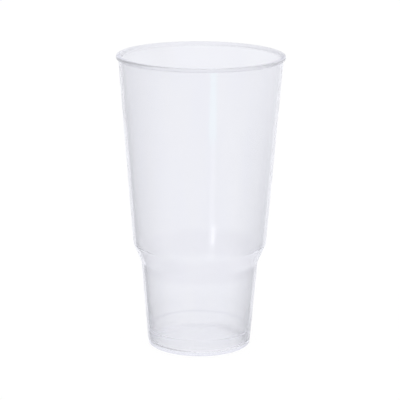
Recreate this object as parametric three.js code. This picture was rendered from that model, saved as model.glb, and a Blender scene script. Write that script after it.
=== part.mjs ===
// A tall translucent drinking cup, moulded in one shot of polypropylene.
// Millimetres, +Z up, with the origin at the centre of the foot, where it stands on the table.
//
// The cup is a thin wall turned about the Z axis: a narrow grip that fits the hand, a sloping shoulder,
// and a wide bowl that ends in a thick lip. It is built zone by zone from the table up. Level planes cut
// the zones of the wall out of the same outer and inner faces, so each ring sits face to face on the one
// below it, and the floor fits inside the foot ring.

import * as THREE from "three";

// Outer face: heights are stacked from the table up, and a flare is how far a wall leans out over its height
const FOOT_RADIUS = 33.8;
const GRIP_HEIGHT = 56.2;
const GRIP_FLARE = 4.72;
const SHOULDER_HEIGHT = 12.3;
const SHOULDER_FLARE = 5.3;
const BOWL_HEIGHT = 125.5;
const BOWL_FLARE = 9.88;

// Wall, and the radius of the shoulder's two bends on their tight side
const WALL = 1.6;
const BEND_RADIUS = 2.0;

// Lip: a bead that stands proud of the bowl, with an upright band between the rounds of its outer edge
const LIP_HEIGHT = 2.6;
const LIP_OVERHANG = 1.5;
const LIP_BAND = 0.2;
const LIP_INNER_ROUND = 0.8;
const LIP_FILLET = 0.25;

// Base: a flat ring to stand on, and a recess that slopes up from it to the underside of the floor
const FOOT_WIDTH = 3.5;
const FOOT_ROUND = 1.2;
const RECESS_DEPTH = 0.4;
const RECESS_RUN = 4.0;
const FLOOR = 1.2;

// Heel: the lowest band of the wall, thicker on the inside, which slopes back to the even wall at its top
const FLOOR_FILLET = 3.0;
const HEEL_HEIGHT = 11.2;
const HEEL_EXTRA = 0.4;
const HEEL_SLOPE = 1.0;

// Smoothness of the turned and rounded faces
const TURN_STEPS = 60;
const ROUND_STEPS = 4;

const point = (radius, height) => new THREE.Vector2(radius, height);

// Thickness of a tapered wall, measured on the level
const levelWall = (thickness, taper) => thickness / Math.cos(taper);

// Points of the arc that rounds one corner of an outline
function roundCorner(before, corner, after, radius) {
  const into = corner.clone().sub(before).normalize();
  const away = after.clone().sub(corner).normalize();
  const side = Math.sign(into.cross(away));
  const turn = Math.acos(THREE.MathUtils.clamp(into.dot(away), -1, 1));
  const start = corner.clone().addScaledVector(into, -radius * Math.tan(turn / 2));
  const centre = start.clone().addScaledVector(point(-into.y, into.x), side * radius);
  const step = (side * turn) / ROUND_STEPS;
  return Array.from({ length: ROUND_STEPS + 1 }, (_, i) => start.clone().rotateAround(centre, i * step));
}

// An outline through corners, each of which is a point with an optional radius to round it by
function outline(corners) {
  return corners.flatMap(({ at, round }, i) =>
    round ? roundCorner(corners[i - 1].at, at, corners[i + 1].at, round) : [at]);
}

// Where a rising outline crosses a height
function crossing(path, height) {
  const i = path.findIndex((p) => p.y >= height);
  const above = path[i];
  const below = path[Math.max(i - 1, 0)];
  const share = above.y > below.y ? (height - below.y) / (above.y - below.y) : 1;
  return point(THREE.MathUtils.lerp(below.x, above.x, share), height);
}

// The stretch of a rising outline between two heights
function stretch(path, low, high) {
  const inside = path.filter((p) => p.y > low && p.y < high);
  return [crossing(path, low), ...inside, crossing(path, high)];
}

// The point on the inner face that faces a bend of the outer face, between walls of two tapers
function facing(bend, taperBelow, taperAbove, thickness) {
  const mean = (taperBelow + taperAbove) / 2;
  const half = (taperAbove - taperBelow) / 2;
  const inwards = point(-Math.cos(mean), Math.sin(mean));
  return bend.clone().addScaledVector(inwards, thickness / Math.cos(half));
}

// Heights of the planes between the zones
const floorTop = RECESS_DEPTH + FLOOR;
const shoulderTop = GRIP_HEIGHT + SHOULDER_HEIGHT;
const cupHeight = shoulderTop + BOWL_HEIGHT;
const lipBottom = cupHeight - LIP_HEIGHT;
const bendReach = BEND_RADIUS + WALL;

// Tapers of the three walls, as angles from the vertical
const gripTaper = Math.atan2(GRIP_FLARE, GRIP_HEIGHT);
const shoulderTaper = Math.atan2(SHOULDER_FLARE, SHOULDER_HEIGHT);
const bowlTaper = Math.atan2(BOWL_FLARE, BOWL_HEIGHT);

// Outer face, from the inner edge of the foot, round its corner and up to the mouth
const footInner = point(FOOT_RADIUS - FOOT_WIDTH, 0);
const footOuter = point(FOOT_RADIUS, 0);
const gripTop = point(FOOT_RADIUS + GRIP_FLARE, GRIP_HEIGHT);
const bowlBottom = point(gripTop.x + SHOULDER_FLARE, shoulderTop);
const bowlTop = point(bowlBottom.x + BOWL_FLARE, cupHeight);
const outerFace = outline([
  { at: footInner },
  { at: footOuter, round: FOOT_ROUND },
  { at: gripTop, round: BEND_RADIUS },
  { at: bowlBottom, round: bendReach },
  { at: bowlTop },
]);

// Inner face of the even wall, which keeps its thickness round both bends of the shoulder
const innerFace = outline([
  { at: point(FOOT_RADIUS - levelWall(WALL, gripTaper), 0) },
  { at: facing(gripTop, gripTaper, shoulderTaper, WALL), round: bendReach },
  { at: facing(bowlBottom, shoulderTaper, bowlTaper, WALL), round: BEND_RADIUS },
  { at: point(bowlTop.x - levelWall(WALL, bowlTaper), cupHeight) },
]);

// Inner face of the heel, which sweeps off the floor in a fillet and slopes back to the even wall
const heelFoot = FOOT_RADIUS - levelWall(WALL + HEEL_EXTRA, gripTaper);
const heelInner = (height) => point(heelFoot + height * Math.tan(gripTaper), height);
const heelFace = outline([
  { at: point(0, floorTop) },
  { at: heelInner(floorTop), round: FLOOR_FILLET },
  { at: heelInner(HEEL_HEIGHT - HEEL_SLOPE) },
  { at: crossing(innerFace, HEEL_HEIGHT) },
]);

// A clear, faintly blue plastic with a satin gloss
const polypropylene = () =>
  new THREE.MeshStandardMaterial({
    color: 0xe9ebf4,
    roughness: 0.22,
    metalness: 0,
    transparent: true,
    opacity: 0.4,
  });

const cup = new THREE.Group();

// Turns a closed outline, or one that starts and ends on the axis, about the Z axis
function addTurned(name, path) {
  const geometry = new THREE.LatheGeometry(path, TURN_STEPS);
  geometry.rotateX(Math.PI / 2);
  const mesh = new THREE.Mesh(geometry, polypropylene());
  mesh.name = name;
  cup.add(mesh);
}

// A ring of wall between two level planes: up the outer face and down the inner one
function addWall(name, low, high) {
  const path = [...stretch(outerFace, low, high), ...stretch(innerFace, low, high).reverse()];
  addTurned(name, [...path, path[0]]);
}

// Foot ring, which alone touches the table: its underside slopes up to meet the edge of the floor
const floorEdge = point(footInner.x - RECESS_RUN, RECESS_DEPTH);
const floorRim = point(floorEdge.x, floorTop);
const footSide = outerFace.filter((p) => p.y < floorTop);
addTurned("foot_ring", [...footSide, crossing(outerFace, floorTop), floorRim, floorEdge, footInner]);

// Floor, the disc that closes the cup inside the foot ring
addTurned("floor", [point(0, RECESS_DEPTH), floorEdge, floorRim, point(0, floorTop)]);

// Heel: its inner outline is followed from the top down to where the fillet runs out on the foot ring
const heelSide = heelFace.slice(1).reverse();
const heelRing = [...stretch(outerFace, floorTop, HEEL_HEIGHT), ...heelSide];
addTurned("heel", [...heelRing, heelRing[0]]);

// Walls above the heel, from the hand grip to the mouth
const shoulderStart = GRIP_HEIGHT - bendReach;
const shoulderEnd = shoulderTop + bendReach;
const lipStart = lipBottom - LIP_FILLET;
addWall("grip_wall", HEEL_HEIGHT, shoulderStart);
addWall("shoulder", shoulderStart, shoulderEnd);
addWall("bowl_wall", shoulderEnd, lipStart);

// Lip, a bead all round the mouth whose round outer edge overhangs the bowl
const lipRoot = crossing(outerFace, lipBottom);
const lipRadius = lipRoot.x + LIP_OVERHANG;
const lipRound = Math.min((LIP_HEIGHT - LIP_BAND) / 2, LIP_OVERHANG - LIP_FILLET);
const mouthLow = crossing(innerFace, lipStart);
addTurned("rim_lip", outline([
  { at: mouthLow },
  { at: crossing(outerFace, lipStart) },
  { at: lipRoot, round: LIP_FILLET },
  { at: point(lipRadius, lipBottom), round: lipRound },
  { at: point(lipRadius, cupHeight), round: lipRound },
  { at: innerFace.at(-1), round: LIP_INNER_ROUND },
  { at: mouthLow },
]));

export default cup;
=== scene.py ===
# %% [markdown]
# # A tall translucent drinking cup
#
# The real cup is one thin shell of moulded polypropylene: a foot, a narrow grip, a sloping shoulder, a wide
# bowl and a beaded lip. The plastic lets light through with a faint cool haze, so every face of the shell
# shows at once: the near wall, the far wall behind it, and the floor with its foot below.
#
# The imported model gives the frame. It holds the cup as a stack of zones that meet face to face. Seen through
# clear plastic, the faces between the zones would show as seams, so the looks are made as one closed skin
# that stands for all of them.

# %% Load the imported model
import math

import bmesh
import bpy
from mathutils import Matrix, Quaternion, Vector


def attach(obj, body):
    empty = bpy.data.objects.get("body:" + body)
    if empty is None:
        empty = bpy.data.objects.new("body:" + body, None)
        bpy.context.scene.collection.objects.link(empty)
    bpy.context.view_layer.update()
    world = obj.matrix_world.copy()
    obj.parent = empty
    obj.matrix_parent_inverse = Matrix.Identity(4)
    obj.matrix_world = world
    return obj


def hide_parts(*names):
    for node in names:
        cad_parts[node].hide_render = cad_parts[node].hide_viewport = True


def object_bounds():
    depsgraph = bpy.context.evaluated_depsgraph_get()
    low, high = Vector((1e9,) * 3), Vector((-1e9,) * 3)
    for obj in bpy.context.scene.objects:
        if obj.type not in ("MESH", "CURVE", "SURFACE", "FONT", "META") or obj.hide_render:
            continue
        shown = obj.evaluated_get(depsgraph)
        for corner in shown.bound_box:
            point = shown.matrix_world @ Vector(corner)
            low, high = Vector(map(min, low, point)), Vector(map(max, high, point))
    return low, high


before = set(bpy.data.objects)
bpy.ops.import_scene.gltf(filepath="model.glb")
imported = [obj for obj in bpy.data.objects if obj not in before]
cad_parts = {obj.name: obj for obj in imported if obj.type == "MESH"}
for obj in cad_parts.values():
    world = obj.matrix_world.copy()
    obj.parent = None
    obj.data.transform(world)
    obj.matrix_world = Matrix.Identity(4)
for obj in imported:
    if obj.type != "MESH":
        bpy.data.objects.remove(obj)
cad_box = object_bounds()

MM = 0.001
print("zones:", sorted(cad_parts))
print("box:", [round(v, 4) for corner in cad_box for v in corner])

# %% [markdown]
# ## Arithmetic on sockets
#
# A node tree is a formula drawn as boxes. Written straight into Python it turns into long lists of links, so
# one small class wraps an output socket and gives it the arithmetic of a number: `1 - mask` adds the Math
# node for it. The same class serves the geometry tree and the shaders, because both use the same Math node.

# %% A socket with arithmetic
class Wire:
    """An output socket of a node. Arithmetic on it adds Math nodes to its tree."""

    def __init__(self, tree, socket=None):
        self.tree = tree
        self.socket = socket

    def add(self, kind, settings=(), sockets=(), out=0):
        """Any other node: its settings come first, then the values or wires of its sockets."""
        node = self.tree.nodes.new(kind)
        for name, value in dict(settings).items():
            setattr(node, name, value)
        for key, value in dict(sockets).items():
            if isinstance(value, Wire):
                self.tree.links.new(value.socket, node.inputs[key])
            else:
                node.inputs[key].default_value = value
        return Wire(self.tree, node.outputs[out] if node.outputs else None)

    def math(self, operation, *values):
        sockets = {i: value for i, value in enumerate(values)}
        return self.add("ShaderNodeMath", {"operation": operation}, sockets)

    def output(self, name):
        """Another output of the same node."""
        return Wire(self.tree, self.socket.node.outputs[name])

    def __add__(self, other):
        return self.math("ADD", self, other)

    def __radd__(self, other):
        return self.math("ADD", other, self)

    def __sub__(self, other):
        return self.math("SUBTRACT", self, other)

    def __rsub__(self, other):
        return self.math("SUBTRACT", other, self)

    def __mul__(self, other):
        return self.math("MULTIPLY", self, other)

    def __rmul__(self, other):
        return self.math("MULTIPLY", other, self)

    def __truediv__(self, other):
        return self.math("DIVIDE", self, other)


print("wires ready")

# %% [markdown]
# ## The camera
#
# The picture was taken from a little over a metre away with a long lens, looking slightly down, so the mouth
# opens as a slim ellipse and the base as a rounder one. Matching those two ellipses fixes both the distance
# and the tilt. The cup leans a hair to the right in the frame, which is the camera's roll.

# %% Camera
CAMERA_DISTANCE = 1258 * MM
CAMERA_TILT = math.radians(13.9)
CAMERA_ROLL = math.radians(0.38)
CAMERA_AIM = Vector((0, 0, 97.1 * MM))
SENSOR = 36.0
FOCAL_SHARE = 4.775

camera_data = bpy.data.cameras.new("camera")
camera_data.sensor_width = SENSOR
camera_data.lens = SENSOR * FOCAL_SHARE
camera = bpy.data.objects.new("camera", camera_data)
bpy.context.scene.collection.objects.link(camera)
away = Vector((0, -math.cos(CAMERA_TILT), math.sin(CAMERA_TILT)))
camera.location = CAMERA_AIM + away * CAMERA_DISTANCE
camera.rotation_mode = "QUATERNION"
camera.rotation_quaternion = (-away).to_track_quat("-Z", "Y") @ Quaternion((0, 0, 1), CAMERA_ROLL)
bpy.context.scene.camera = camera
bpy.context.scene.view_settings.view_transform = "Standard"
print("lens:", round(camera_data.lens, 1), "mm at", round(CAMERA_DISTANCE, 3), "m")

# %% [markdown]
# ## Sizes of the skin
#
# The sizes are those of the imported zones, in metres. Heights are stacked from the table up, and a flare is
# how far a wall leans out from its lower end to its upper end. Two roundings are finish that the zones don't
# have: those of the recess under the floor and of the heel's slope.

# %% Sizes
SIZES = {
    "Foot Radius": 33.8 * MM,
    "Grip Height": 56.2 * MM,
    "Grip Flare": 4.72 * MM,
    "Shoulder Height": 12.3 * MM,
    "Shoulder Flare": 5.3 * MM,
    "Bowl Height": 125.5 * MM,
    "Bowl Flare": 9.88 * MM,
    "Wall": 1.6 * MM,
    "Bend Radius": 2.0 * MM,
    "Lip Height": 2.6 * MM,
    "Lip Overhang": 1.5 * MM,
    "Lip Band": 0.2 * MM,
    "Lip Inner Round": 0.8 * MM,
    "Lip Fillet": 0.25 * MM,
    "Foot Width": 3.5 * MM,
    "Foot Round": 1.2 * MM,
    "Recess Depth": 0.4 * MM,
    "Recess Run": 4.0 * MM,
    "Recess Round": 6.0 * MM,
    "Floor": 1.2 * MM,
    "Floor Fillet": 3.0 * MM,
    "Heel Height": 11.2 * MM,
    "Heel Extra": 0.4 * MM,
    "Heel Slope": 1.0 * MM,
    "Edge Round": 0.3 * MM,
    "Longest Edge": 4.0 * MM,
}
TURN_STEPS = 360
ROUND_STEPS = 7
MERGE_DISTANCE = 0.002 * MM
print(len(SIZES), "sizes")

# %% [markdown]
# ## The turned skin
#
# A cup is a turned shape: one outline, swept about the axis. The outline could be drawn by hand and spun, but
# then no size could be changed later. Here a geometry tree works the outline's corners out from the named
# sizes, rounds each corner by its own radius, and turns the result: every point of the outline becomes a ring
# of a grid. The outline starts under the floor on the axis, runs out over the foot, up the outer face, over
# the lip, down the inner face and back along the floor to the axis, so the grid closes into one skin.

# %% Corners of the outline
turned = bpy.data.node_groups.new("turned_cup", "GeometryNodeTree")
turned.interface.new_socket("Geometry", in_out="OUTPUT", socket_type="NodeSocketGeometry")
size_ids = {}
for name, value in SIZES.items():
    socket = turned.interface.new_socket(name, in_out="INPUT", socket_type="NodeSocketFloat")
    size_ids[name] = socket.identifier
material_id = turned.interface.new_socket(
    "Plastic", in_out="INPUT", socket_type="NodeSocketMaterial").identifier
inputs = Wire(turned).add("NodeGroupInput")


def size(name):
    return inputs.output(name)


wall = size("Wall")
bend = size("Bend Radius")
foot_radius = size("Foot Radius")
recess = size("Recess Depth")
grip_height = size("Grip Height")
heel_height = size("Heel Height")
edge_round = size("Edge Round")
shoulder_top = grip_height + size("Shoulder Height")
cup_height = shoulder_top + size("Bowl Height")
lip_bottom = cup_height - size("Lip Height")
floor_top = recess + size("Floor")
foot_inner = foot_radius - size("Foot Width")
grip_top = foot_radius + size("Grip Flare")
bowl_bottom = grip_top + size("Shoulder Flare")
bowl_top = bowl_bottom + size("Bowl Flare")
bowl_slope = size("Bowl Flare") / size("Bowl Height")
grip_slope = size("Grip Flare") / grip_height
bowl_at_lip = bowl_top - bowl_slope * size("Lip Height")
lip_radius = bowl_at_lip + size("Lip Overhang")
lip_round = (size("Lip Height") - size("Lip Band")) * 0.5
slope_foot = heel_height - size("Heel Slope")


def taper(lean, height):
    return lean.math("ARCTAN2", lean, height)


def level_wall(thickness, angle):
    """Thickness of a leaning wall, measured on the level."""
    return thickness / angle.math("COSINE", angle)


def facing(radius, height, below, above):
    """The point of the inner face that faces a bend of the outer face, along the bisector of two tapers."""
    mean = (below + above) * 0.5
    reach = level_wall(wall, (above - below) * 0.5)
    return radius - reach * mean.math("COSINE", mean), height + reach * mean.math("SINE", mean)


grip_taper = taper(size("Grip Flare"), grip_height)
shoulder_taper = taper(size("Shoulder Flare"), size("Shoulder Height"))
bowl_taper = taper(size("Bowl Flare"), size("Bowl Height"))
grip_wall = level_wall(wall, grip_taper)
heel_wall = level_wall(wall + size("Heel Extra"), grip_taper)
mouth = bowl_top - level_wall(wall, bowl_taper)
inner_bowl = facing(bowl_bottom, shoulder_top, shoulder_taper, bowl_taper)
inner_grip = facing(grip_top, grip_height, grip_taper, shoulder_taper)


def grip_at(height):
    return foot_radius + grip_slope * height


# Each corner is a radius, a height and the radius that rounds it
corners = [
    (0.0, recess, 0.0),
    (foot_inner - size("Recess Run"), recess, size("Recess Round")),
    (foot_inner, 0.0, size("Recess Round")),
    (foot_radius, 0.0, size("Foot Round")),
    (grip_top, grip_height, bend),
    (bowl_bottom, shoulder_top, bend + wall),
    (bowl_at_lip, lip_bottom, size("Lip Fillet")),
    (lip_radius, lip_bottom, lip_round),
    (lip_radius, cup_height, lip_round),
    (mouth, cup_height, size("Lip Inner Round")),
    (*inner_bowl, bend),
    (*inner_grip, bend + wall),
    (grip_at(heel_height) - grip_wall, heel_height, edge_round),
    (grip_at(slope_foot) - heel_wall, slope_foot, edge_round),
    (grip_at(floor_top) - heel_wall, floor_top, size("Floor Fillet")),
    (0.0, floor_top, 0.0),
]
print(len(corners), "corners")

# %% [markdown]
# ## Rounding and turning
#
# No edge of a moulding is quite sharp. A line with one point for each corner is bent into the outline, and
# each corner is then rounded by its own radius. A Screw modifier could turn a drawn outline, but this one is
# worked out inside the tree, so it is turned there too. A flat grid gets one row for each point of the
# outline and one column for each step round the axis, and every point of the grid goes where its row's radius
# and its column's angle put it.

# %% Rounding the outline and turning it
index = Wire(turned).add("GeometryNodeInputIndex")
position = Wire(turned).add("GeometryNodeInputPosition")


def pick(data_type, values):
    """One value for each index, as a field."""
    switch = turned.nodes.new("GeometryNodeIndexSwitch")
    switch.data_type = data_type
    while len(switch.index_switch_items) < len(values):
        switch.index_switch_items.new()
    turned.links.new(index.socket, switch.inputs[0])
    for i, value in enumerate(values):
        if isinstance(value, Wire):
            turned.links.new(value.socket, switch.inputs[i + 1])
        else:
            switch.inputs[i + 1].default_value = value
    return Wire(turned, switch.outputs[0])


def point(radius, height):
    return index.add("ShaderNodeCombineXYZ", sockets={"X": radius, "Z": height})


line = index.add("GeometryNodeCurvePrimitiveLine")
line = index.add("GeometryNodeResampleCurve", {"mode": "COUNT"}, {"Curve": line, "Count": len(corners)})
line = index.add("GeometryNodeSetPosition", sockets={
    "Geometry": line,
    "Position": pick("VECTOR", [point(radius, height) for radius, height, _ in corners]),
})
line = index.add("GeometryNodeFilletCurve", {"mode": "POLY"}, {
    "Curve": line,
    "Count": ROUND_STEPS,
    "Radius": pick("FLOAT", [rounding for _, _, rounding in corners]),
    "Limit Radius": True,
})

# Long stretches are cut into short edges, so that each rounding bends the light only where it is
next_point = index.add("GeometryNodeFieldAtIndex", {"data_type": "FLOAT_VECTOR"}, {
    "Index": index + 1,
    "Value": position,
})
edge = index.add("ShaderNodeVectorMath", {"operation": "DISTANCE"}, {0: position, 1: next_point}, "Value")
line = index.add("GeometryNodeSubdivideCurve", sockets={"Curve": line, "Cuts": edge / size("Longest Edge")})

rows = index.add("GeometryNodeAttributeDomainSize", {"component": "CURVE"}, {"Geometry": line})
grid = index.add("GeometryNodeMeshGrid", sockets={"Vertices X": rows, "Vertices Y": TURN_STEPS + 1})
grid_map = grid.output("UV Map")
row = index.math("FLOOR", index / (TURN_STEPS + 1))
angle = (index - row * (TURN_STEPS + 1)) * (2 * math.pi / TURN_STEPS)
on_line = index.add("GeometryNodeSampleIndex", {"data_type": "FLOAT_VECTOR", "clamp": True}, {
    "Geometry": line,
    "Value": position,
    "Index": row,
})
parts = index.add("ShaderNodeSeparateXYZ", sockets={0: on_line})
turned_point = index.add("ShaderNodeCombineXYZ", sockets={
    "X": parts.output("X") * angle.math("COSINE", angle),
    "Y": parts.output("X") * angle.math("SINE", angle),
    "Z": parts.output("Z"),
})
skin = index.add("GeometryNodeStoreNamedAttribute", {"data_type": "FLOAT2", "domain": "CORNER"}, {
    "Geometry": grid,
    "Name": "UVMap",
    "Value": grid_map,
})
skin = index.add("GeometryNodeSetPosition", sockets={"Geometry": skin, "Position": turned_point})
skin = index.add("GeometryNodeMergeByDistance", sockets={"Geometry": skin, "Distance": MERGE_DISTANCE})
skin = index.add("GeometryNodeSetShadeSmooth", sockets={"Geometry": skin})
skin = index.add("GeometryNodeRealizeInstances", sockets={"Geometry": skin})
skin = index.add("GeometryNodeSetMaterial", sockets={"Geometry": skin, "Material": inputs.output("Plastic")})
index.add("NodeGroupOutput", sockets={"Geometry": skin})
print(len(turned.nodes), "nodes in the turned tree")

# %% [markdown]
# ## The plastic
#
# Polypropylene is clear with a faint cool haze, so the shader is a real glass: it bends the light at both
# faces of the wall and mirrors it at the edges. Plain transparency would be quicker, but the lip, the floor
# and the outline of the wall would lose the bright and dark lines that make a clear cup readable.
#
# The tint sits in the colour and not only in the depth of the wall. It is a shade deeper where the moulding
# is thick: in the lip and in the heel. Shade is painted into the colour too: a painted dark line under the
# bead of the lip, a painted darker band at the shoulder, and a painted dark ring where the heel meets the
# even wall. Soft masks over the height and the distance from the axis say where that is.

# %% Where the plastic is thick, and where shade is painted
plastic = bpy.data.materials.new("clear_polypropylene")
plastic.use_nodes = True
plastic_tree = plastic.node_tree
spot = Wire(plastic_tree).add("ShaderNodeTexCoord", out="Object")
place = spot.add("ShaderNodeSeparateXYZ", sockets={0: spot})
height = place.output("Z")
across = place.math("SQRT", place * place + place.output("Y") * place.output("Y"))


def ramp(value, start, end):
    """A smooth step from 0 at the start to 1 at the end, which may be the lower of the two."""
    return value.add("ShaderNodeMapRange", {"interpolation_type": "SMOOTHSTEP"}, {
        "Value": value,
        "From Min": start,
        "From Max": end,
    })


CUP_HEIGHT = SIZES["Grip Height"] + SIZES["Shoulder Height"] + SIZES["Bowl Height"]
LIP_BOTTOM = CUP_HEIGHT - SIZES["Lip Height"]
HEEL_TOP = SIZES["Heel Height"]
LIP_RADIUS = cad_box[1][0]
HEEL_INSIDE = SIZES["Foot Radius"] - SIZES["Wall"] + SIZES["Grip Flare"] * HEEL_TOP / SIZES["Grip Height"]
EDGE = 0.3 * MM
RING_HALF = 0.4 * MM
BEAD_FACE = (LIP_RADIUS - 1.2 * MM, LIP_RADIUS - 0.3 * MM)
BEAD_UNDERSIDE = (LIP_BOTTOM + 1.2 * MM, LIP_BOTTOM + 0.5 * MM)
SHOULDER_BELOW = (47.0 * MM, 53.0 * MM)
SHOULDER_ABOVE = (70.0 * MM, 62.0 * MM)
HEEL_FADE = (10.0 * MM, 3.0 * MM)
HEEL_ACROSS = (29.0 * MM, 32.0 * MM)
HAZE_TOP = (28.0 * MM, 18.0 * MM)
HAZE_FOOT = (2.0 * MM, 5.0 * MM)
UPPER_FADE = (140.0 * MM, 160.0 * MM)

entering = 1 - spot.add("ShaderNodeNewGeometry", out="Backfacing")
in_lip = ramp(height, LIP_BOTTOM - EDGE, LIP_BOTTOM + EDGE)
# Painted shade: a dark line on the underside of the bead, on faces met from outside
painted_bead_shade = in_lip * ramp(across, *BEAD_FACE) * ramp(height, *BEAD_UNDERSIDE) * entering
# Painted shade: a darker band over the shoulder
painted_shoulder_shade = ramp(height, *SHOULDER_BELOW) * ramp(height, *SHOULDER_ABOVE)
in_heel = ramp(height, *HEEL_FADE) * ramp(across, *HEEL_ACROSS)
in_haze = ramp(height, *HAZE_TOP) * ramp(height, *HAZE_FOOT)
in_upper = ramp(height, *UPPER_FADE)
# Painted shade: a thin dark ring where the heel meets the even wall, on faces met from outside
painted_ring_shade = ramp(height, HEEL_TOP - RING_HALF - 2 * EDGE, HEEL_TOP - RING_HALF)
painted_ring_shade = painted_ring_shade * ramp(height, HEEL_TOP + RING_HALF, HEEL_TOP)
painted_ring_shade = painted_ring_shade * ramp(across, HEEL_INSIDE + 2 * EDGE, HEEL_INSIDE + EDGE) * entering
print("lip from", round(LIP_BOTTOM / MM, 1), "mm; heel up to", round(HEEL_TOP / MM, 1), "mm")

# %% [markdown]
# ## Tint, gloss and ripple
#
# A moulded wall is never one even colour. The plastic leaves long faint flow marks as it runs up the mould,
# and they vary the tint and the gloss. A noise that is stretched along the height gives them. The lip is
# buffed soft by use, and the lowest part of the wall is hazier than the rest, where the plastic cools last.
# Haze blurs most what lies far behind it, so the far edge of the floor shows through it softly. A slow ripple
# in the face makes reflections waver a little, as they do on moulded ware.

# %% Tint, gloss and ripple
FLOW_SCALE = (70.0, 70.0, 9.0)
FLOW_STEP = (0.35, 0.65)
RIPPLE_SCALE = 90.0
RIPPLE_DEPTH = 0.02 * MM
CLEAR_TINT = (0.995, 0.996, 1.0, 1)
FLOW_TINT = (0.988, 0.990, 1.0, 1)
HEEL_TINT = (0.99, 0.99, 0.995, 1)
# The ring colour is painted shade: the dark line at the top of the heel
RING_PAINTED_SHADE = (0.84, 0.84, 0.88, 1)
LIP_TINT = (0.985, 0.985, 0.995, 1)
# The bead colour is painted shade: the dark line under the lip
BEAD_PAINTED_SHADE = (0.74, 0.75, 0.79, 1)
# The shoulder colour is painted shade: the darker band at the bend
SHOULDER_PAINTED_SHADE = (0.957, 0.955, 0.969, 1)
WALL_ROUGHNESS = 0.085
FLOW_ROUGHNESS = 0.015
LIP_ROUGHNESS = 0.32
HAZE_ROUGHNESS = 0.22


def blend(share, first, second):
    """A colour between two others."""
    return share.add("ShaderNodeMix", {"data_type": "RGBA"}, {0: share, 6: first, 7: second}, 2)


stretched = spot.add("ShaderNodeVectorMath", {"operation": "MULTIPLY"}, {0: spot, 1: FLOW_SCALE})
flow = spot.add("ShaderNodeTexNoise", sockets={"Vector": stretched, "Scale": 1.0, "Detail": 3.0})
flow = ramp(flow, *FLOW_STEP)
tint = blend(flow, CLEAR_TINT, FLOW_TINT)
tint = blend(in_heel, tint, HEEL_TINT)
# Painted shade: the darker band at the shoulder
tint = blend(painted_shoulder_shade, tint, SHOULDER_PAINTED_SHADE)
# Painted shade: the dark ring at the top of the heel
tint = blend(painted_ring_shade, tint, RING_PAINTED_SHADE)
tint = blend(in_lip, tint, LIP_TINT)
# Painted shade: the dark line under the bead of the lip
tint = blend(painted_bead_shade, tint, BEAD_PAINTED_SHADE)
wall_roughness = WALL_ROUGHNESS + flow * FLOW_ROUGHNESS
roughness = wall_roughness + in_lip * (LIP_ROUGHNESS - wall_roughness)
roughness = roughness + in_haze * (HAZE_ROUGHNESS - roughness)
ripple = spot.add("ShaderNodeTexNoise", sockets={"Vector": spot, "Scale": RIPPLE_SCALE, "Detail": 1.0})
ripple = spot.add("ShaderNodeBump", sockets={"Strength": 1.0, "Distance": RIPPLE_DEPTH, "Height": ripple})
print("tint, gloss and ripple ready")

# %% [markdown]
# ## Glass, and a way out for trapped rays
#
# A ray that is caught inside the bead or the foot could be mirrored for ever, and the renderer would give it
# up as black. Real plastic lets such light leak out through its haze. So a ray that has been mirrored more
# than once goes straight on, with a little tint. In the upper wall it may be mirrored once more before that,
# and in the thick, buffed lip it goes on as soon as it has been mirrored. The depth of the plastic takes a
# little colour too, which shows where the view runs along the wall.

# %% The glass and its way out for trapped rays
IOR = 1.49
CLEARNESS = 0.98
MOST_MIRRORINGS = 1.5
FEWER_IN_LIP = 2.0
LEAK_TINT = (0.97, 0.972, 0.98, 1)
DEPTH_TINT = (0.4, 0.42, 0.9, 1)
DEPTH_DENSITY = 3.0

glass = plastic_tree.nodes["Principled BSDF"]
glass.inputs["IOR"].default_value = IOR
glass.inputs["Transmission Weight"].default_value = CLEARNESS
plastic_tree.links.new(tint.socket, glass.inputs["Base Color"])
plastic_tree.links.new(roughness.socket, glass.inputs["Roughness"])
plastic_tree.links.new(ripple.socket, glass.inputs["Normal"])
ray = spot.add("ShaderNodeLightPath")
mirrorings = ray.output("Glossy Depth") + ray.output("Diffuse Depth")
most = MOST_MIRRORINGS + in_upper - FEWER_IN_LIP * in_lip
trapped = ray.math("GREATER_THAN", mirrorings, most)
surface = spot.add("ShaderNodeMixShader", sockets={
    0: trapped,
    1: Wire(plastic_tree, glass.outputs[0]),
    2: spot.add("ShaderNodeBsdfTransparent", sockets={"Color": LEAK_TINT}),
})
depth = spot.add("ShaderNodeVolumeAbsorption", sockets={"Color": DEPTH_TINT, "Density": DEPTH_DENSITY})
finish = plastic_tree.nodes["Material Output"]
plastic_tree.links.new(surface.socket, finish.inputs["Surface"])
plastic_tree.links.new(depth.socket, finish.inputs["Volume"])
print(len(plastic_tree.nodes), "nodes in the plastic")

# %% [markdown]
# ## The cup
#
# The tree runs once as a modifier. Its result is copied into a plain mesh, so that the cup is a closed skin
# with no modifier left on it. The signed volume tells whether the faces look outwards.

# %% The cup
CUBIC_CM = 1e-6

cup = bpy.data.objects.new("cup", bpy.data.meshes.new("blank"))
bpy.context.scene.collection.objects.link(cup)
turning = cup.modifiers.new("turned_cup", "NODES")
turning.node_group = turned
for name, value in SIZES.items():
    turning[size_ids[name]] = value
turning[material_id] = plastic
graph = bpy.context.evaluated_depsgraph_get()
skin_mesh = bpy.data.meshes.new_from_object(cup.evaluated_get(graph), depsgraph=graph)
cup.modifiers.remove(turning)
skin_mesh.name = "cup_skin"
cup.data = skin_mesh

check = bmesh.new()
check.from_mesh(skin_mesh)
volume = check.calc_volume(signed=True)
open_edges = sum(not edge.is_manifold for edge in check.edges)
if volume < 0:
    bmesh.ops.reverse_faces(check, faces=check.faces)
    check.to_mesh(skin_mesh)
check.free()
print("volume:", round(volume / CUBIC_CM, 1), "cm3")
print("open edges:", open_edges, "and faces:", len(skin_mesh.polygons))

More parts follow.
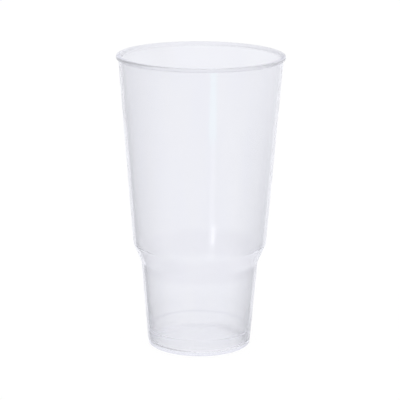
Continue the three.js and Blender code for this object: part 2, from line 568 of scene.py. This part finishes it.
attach(cup, "root")
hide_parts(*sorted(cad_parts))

# %% [markdown]
# ## Ground
#
# The cup stands on plain white paper. In the picture the paper is burnt out to white with hardly any shadow,
# so the camera sees mostly a steady white, with a small share of real diffuse paper that keeps a trace of
# the cup's shadow. The paper is left out of reflections and of what shows through the plastic, where the
# white of the surroundings takes over. From below the paper is clear, so that the underside can be seen.

# %% Ground
GROUND_RADIUS = 4.0
GROUND_GAP = 0.2 * MM
GROUND_SEGMENTS = 96
PAPER = (0.8, 0.8, 0.8, 1)
BURNT_WHITE = 0.95
SHADOW_SHARE = (0.07, 0.07, 0.07, 1)
WHITE = (1, 1, 1, 1)

ground_mesh = bpy.data.meshes.new("ground")
circle = bmesh.new()
bmesh.ops.create_circle(circle, cap_ends=True, segments=GROUND_SEGMENTS, radius=GROUND_RADIUS)
circle.to_mesh(ground_mesh)
circle.free()
ground = bpy.data.objects.new("ground", ground_mesh)
ground.location.z = -GROUND_GAP
ground.visible_glossy = False
ground.visible_transmission = False
bpy.context.scene.collection.objects.link(ground)

paper = bpy.data.materials.new("white_paper")
paper.use_nodes = True
paper.node_tree.nodes.clear()
paper_wire = Wire(paper.node_tree)
burnt = paper_wire.add("ShaderNodeAddShader", sockets={
    0: paper_wire.add("ShaderNodeEmission", sockets={"Color": WHITE, "Strength": BURNT_WHITE}),
    1: paper_wire.add("ShaderNodeBsdfDiffuse", sockets={"Color": SHADOW_SHARE}),
})
front = paper_wire.add("ShaderNodeMixShader", sockets={
    0: paper_wire.add("ShaderNodeLightPath", out="Is Camera Ray"),
    1: paper_wire.add("ShaderNodeBsdfDiffuse", sockets={"Color": PAPER}),
    2: burnt,
})
both = paper_wire.add("ShaderNodeMixShader", sockets={
    0: paper_wire.add("ShaderNodeNewGeometry", out="Backfacing"),
    1: front,
    2: paper_wire.add("ShaderNodeBsdfTransparent"),
})
paper_wire.add("ShaderNodeOutputMaterial", sockets={"Surface": both})
ground_mesh.materials.append(paper)
print("ground ready")

# %% [markdown]
# ## Studio
#
# The surroundings are white, and the camera, the reflections and the view through the plastic all see them.
# A clear thing in an all-white room nearly vanishes: what draws its outline is darkness at the sides. So rays
# that the plastic mirrors find white behind the cup and grey beside it, darker to the left than to the right,
# as in a room with its windows on one side. The sides get darker downwards, so the grip, which is seen more
# from above than the bowl, looks darker. A dark band near the level on the right shades the left half of the
# mouth. The table, the ceiling and the camera's end of the room are light again. Through the plastic the
# white behind the cup shows a shade cooler and dimmer than the burnt-out paper around it.

# %% Studio
AMBIENT = 0.9
BEHIND = (0.925, 0.93, 0.972, 1)
LEFT_EDGE = (math.radians(29.5), math.radians(36))
RIGHT_EDGE = (math.radians(32), math.radians(40))
FRONT = (math.radians(80), math.radians(135))
LEFT_RISE = (-0.42, -0.05)
RIGHT_RISE = (-0.42, -0.20)
LEFT_LEVELS = (0.14, 0.95)
RIGHT_LEVELS = (0.17, 0.85)
BAND_FROM = (math.radians(45), math.radians(60))
BAND_TO = (math.radians(150), math.radians(120))
BAND_BELOW = (-0.07, -0.02)
BAND_ABOVE = (0.22, 0.12)
BAND_LEVEL = 0.3
FRONT_LEVEL = 0.85
TABLE_LEVEL = 1.0
TABLE_SIDE = (math.radians(145), math.radians(100))
TABLE_LEFT_LEVEL = 0.65
TABLE_RIGHT_LEVEL = 0.95
CEILING_END = (math.radians(110), math.radians(150))
CEILING_LEVEL = 0.85
ABOVE_LEFT_LEVEL = 0.55
HORIZON = (0.0, 0.2)
STEEP = (-0.38, -0.55)
HALF_MIRRORING = 0.5

world = bpy.data.worlds.new("studio")
bpy.context.scene.world = world
world.use_nodes = True
world.node_tree.nodes.clear()
sky = Wire(world.node_tree)
way = sky.add("ShaderNodeSeparateXYZ", sockets={0: sky.add("ShaderNodeTexCoord", out="Generated")})
up = way.output("Z")
azimuth = way.math("ARCTAN2", way, way.output("Y"))
turn = azimuth.math("ABSOLUTE", azimuth)
to_right = azimuth.math("GREATER_THAN", azimuth, 0.0)


def by_side(left, right):
    """One value to the left of the cup and another to the right."""
    return left + to_right * (right - left)


rise = by_side(ramp(up, *LEFT_RISE), ramp(up, *RIGHT_RISE))


def by_rise(low, high):
    """One value towards the table and another towards the level."""
    return low + rise * (high - low)


beside = by_side(ramp(turn, *LEFT_EDGE), ramp(turn, *RIGHT_EDGE))
side_level = by_side(by_rise(*LEFT_LEVELS), by_rise(*RIGHT_LEVELS))
side_level = side_level + ramp(turn, *FRONT) * (FRONT_LEVEL - side_level)
level = 1 - beside * (1 - side_level)

table_side = by_side(TABLE_LEFT_LEVEL, TABLE_RIGHT_LEVEL)
table_level = TABLE_LEVEL + beside * ramp(turn, *TABLE_SIDE) * (table_side - TABLE_LEVEL)
level = level + ramp(up, *STEEP) * (table_level - level)

above_level = 1 - beside * (1 - to_right) * (1 - ABOVE_LEFT_LEVEL)
above_level = above_level + ramp(turn, *CEILING_END) * (CEILING_LEVEL - above_level)
level = level + ramp(up, *HORIZON) * (above_level - level)

band = ramp(up, *BAND_BELOW) * ramp(up, *BAND_ABOVE) * to_right
band = band * ramp(turn, *BAND_FROM) * ramp(turn, *BAND_TO)
level = level + band * (BAND_LEVEL - level)

sight = sky.add("ShaderNodeLightPath")
mirrored = sight.math("GREATER_THAN", sight.output("Glossy Depth"), HALF_MIRRORING)
shown = sight.math("MAXIMUM", sight.output("Is Camera Ray"), sight.output("Is Transmission Ray"))
shown = sight.math("MAXIMUM", shown, sight.output("Is Glossy Ray"))
background = sky.add("ShaderNodeMixShader", sockets={
    0: shown,
    1: sky.add("ShaderNodeBackground", sockets={"Color": WHITE, "Strength": AMBIENT}),
    2: sky.add("ShaderNodeBackground", sockets={
        "Color": blend(sight.output("Is Camera Ray"), BEHIND, WHITE),
        "Strength": 1 + mirrored * (level - 1),
    }),
})
sky.add("ShaderNodeOutputWorld", sockets={"Surface": background})
print(len(world.node_tree.nodes), "nodes in the studio")

# %% [markdown]
# ## Lamps
#
# A soft key lamp, high on the left, lights the paper. The pale blue stripe down the front wall is the mirror
# image of something bright and low: the wall leans out, so it reflects what lies on the table before it. Two
# strips that lie there, out of the picture, make it. The far one is mirrored high on the wall and is
# blue-green; the near one is white and ends above the shoulder. They are hidden from light that comes
# through the plastic, or they would show as a broad glow when the cup is seen from behind.

# %% Lamps
LAMP_AIM = Vector((0, 0, 100 * MM))
STRIP_HEIGHT = 4 * MM


def area_lamp(name, width, length, radiance, colour=(1, 1, 1)):
    """A rectangular lamp with the same brightness whatever its size."""
    data = bpy.data.lights.new(name, "AREA")
    data.shape = "RECTANGLE"
    data.size = width
    data.size_y = length
    data.energy = radiance * math.pi * width * length
    data.color = colour
    lamp = bpy.data.objects.new(name, data)
    lamp.visible_camera = False
    bpy.context.scene.collection.objects.link(lamp)
    return lamp


def around(bearing, distance, lift):
    """A place round the cup: bearing 0 is towards the camera, and positive goes to the right of it."""
    return Vector((math.sin(bearing) * distance, -math.cos(bearing) * distance, lift))


def softbox(name, bearing, distance, lift, panel, radiance):
    """A standing lamp that faces the cup."""
    lamp = area_lamp(name, *panel, radiance)
    lamp.location = around(math.radians(bearing), distance, lift)
    lamp.rotation_mode = "QUATERNION"
    lamp.rotation_quaternion = (LAMP_AIM - lamp.location).to_track_quat("-Z", "Y")


def table_strip(name, bearing, near, far, width, radiance, colour):
    """A lamp that lies on the table, pointing away from the cup, and shines up."""
    lamp = area_lamp(name, width, far - near, radiance, colour)
    lamp.location = around(math.radians(bearing), (near + far) / 2, STRIP_HEIGHT)
    lamp.rotation_euler = (math.pi, 0, math.radians(bearing))
    lamp.visible_transmission = False


softbox("key_lamp", bearing=-28.5, distance=1.6, lift=1.05, panel=(0.25, 0.5), radiance=2.5)
table_strip(
    "far_strip", bearing=17.3, near=0.42, far=0.80, width=0.085, radiance=1.2, colour=(0.3, 1.0, 0.9))
table_strip(
    "near_strip", bearing=18.0, near=0.17, far=0.42, width=0.036, radiance=0.75, colour=(1, 1, 1))
